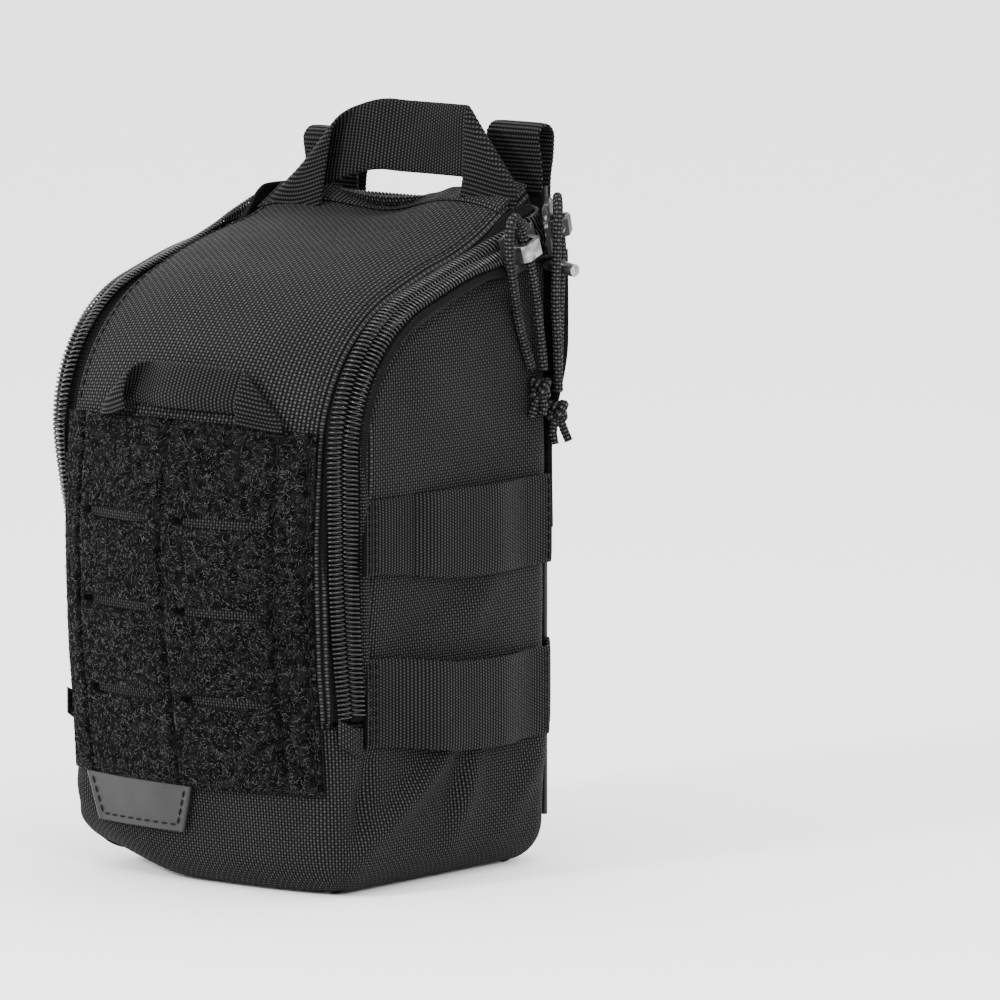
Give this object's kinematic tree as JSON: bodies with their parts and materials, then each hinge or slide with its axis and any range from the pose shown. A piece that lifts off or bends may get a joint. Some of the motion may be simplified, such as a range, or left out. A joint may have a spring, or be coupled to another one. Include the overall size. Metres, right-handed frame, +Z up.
{
  "type": "clamshell first-aid pouch",
  "caption": "Upright box-shaped nylon medical pouch with a curved zipped lid that folds forward, webbing straps, a hook-and-loop front and rear attachment straps.",
  "frame": {"origin": "middle of the base, on the surface that the pouch stands on", "axes": "+Z up along the pouch, -Y out of the front, +Y out of the back that meets the wearer, +X the right side as seen from the front"},
  "size_m": [0.1225, 0.1209, 0.2182],
  "materials": {
    "shell_cloth": "coarse plain-weave coated nylon, matt black",
    "lining_cloth": "thin smooth nylon lining, dark grey",
    "foam": "closed-cell foam",
    "board": "thin polyethylene stiffener",
    "webbing": "ribbed woven nylon webbing, slight sheen",
    "loop_pile": "dense fuzzy loop pile",
    "zip_tape": "fine woven polyester tape",
    "zip_coil": "nylon coil, satin black",
    "patch_rubber": "soft moulded rubber, satin",
    "laminate": "stiff webbing laminate, satin",
    "cord_nylon": "braided nylon cord",
    "elastic": "knitted elastic",
    "slider_metal": "gunmetal plating, worn satin"
  },
  "bodies": {
    "pouch": {"bottom_outer": "shell_cloth", "bottom_board": "board", "front_lower_outer": "shell_cloth", "front_lower_lining": "lining_cloth", "back_outer": "shell_cloth", "back_board": "board", "back_lining": "lining_cloth", "side_right_outer": "shell_cloth", "side_right_lining": "lining_cloth", "side_left_outer": "shell_cloth", "side_left_lining": "lining_cloth", "zip_tape_body": "zip_tape", "zip_coil_body": "zip_coil", "loop_panel_lower": "loop_pile", "label_patch": "patch_rubber", "side_strap_right_lower": "webbing", "side_strap_left_lower": "webbing", "side_strap_right_upper": "webbing", "side_strap_left_upper": "webbing", "back_row_1": "webbing", "back_row_2": "webbing", "back_row_3": "webbing", "zip_end_tab_right": "shell_cloth", "zip_end_tab_left": "shell_cloth", "inner_elastic_lower": "elastic", "inner_elastic_upper": "elastic", "slider_rear": "slider_metal", "cord_rear": "cord_nylon", "knot_rear": "cord_nylon"},
    "lid": {"lid_outer": "shell_cloth", "lid_foam": "foam", "lid_lining": "lining_cloth", "lid_pocket": "elastic", "zip_tape_lid": "zip_tape", "zip_coil_lid": "zip_coil", "loop_panel_upper": "loop_pile"},
    "handle": {"top_handle": "webbing"},
    "front_pull": {"front_pull": "webbing"},
    "stick_right": {"stick_right": "laminate", "stick_loop_right": "webbing"},
    "stick_left": {"stick_left": "laminate", "stick_loop_left": "webbing"},
    "slider": {"slider_side": "slider_metal", "cord_side": "cord_nylon", "knot_side": "cord_nylon"},
    "tab": {"tab_rear": "slider_metal"}
  },
  "joints": [
    {"name": "lid_hinge", "type": "hinge", "parent": "pouch", "child": "lid", "pos_m": [0, -0.0592, 0.05], "axis": [1, 0, 0], "range_deg": [0, 108]},
    {"name": "handle_swing", "type": "hinge", "parent": "lid", "child": "handle", "pos_m": [0, 0.0362, 0.1916], "axis": [1, 0, 0], "range_deg": [0, 80]},
    {"name": "front_pull_swing", "type": "hinge", "parent": "lid", "child": "front_pull", "pos_m": [0, -0.0561, 0.1331], "axis": [1, 0, 0], "range_deg": [0, 60]},
    {"name": "stick_right_slide", "type": "slide", "parent": "pouch", "child": "stick_right", "axis": [0, 0, 1], "range_m": [0, 0.15]},
    {"name": "stick_left_slide", "type": "slide", "parent": "pouch", "child": "stick_left", "axis": [0, 0, 1], "range_m": [0, 0.15]},
    {"name": "slider_slide", "type": "slide", "parent": "pouch", "child": "slider", "axis": [0, -0.9397, -0.342], "range_m": [0, 0.036]},
    {"name": "tab_tilt", "type": "hinge", "parent": "pouch", "child": "tab", "pos_m": [0.053, 0.0426, 0.1724], "axis": [0, 1, 0], "range_deg": [0, 60]}
  ]
}
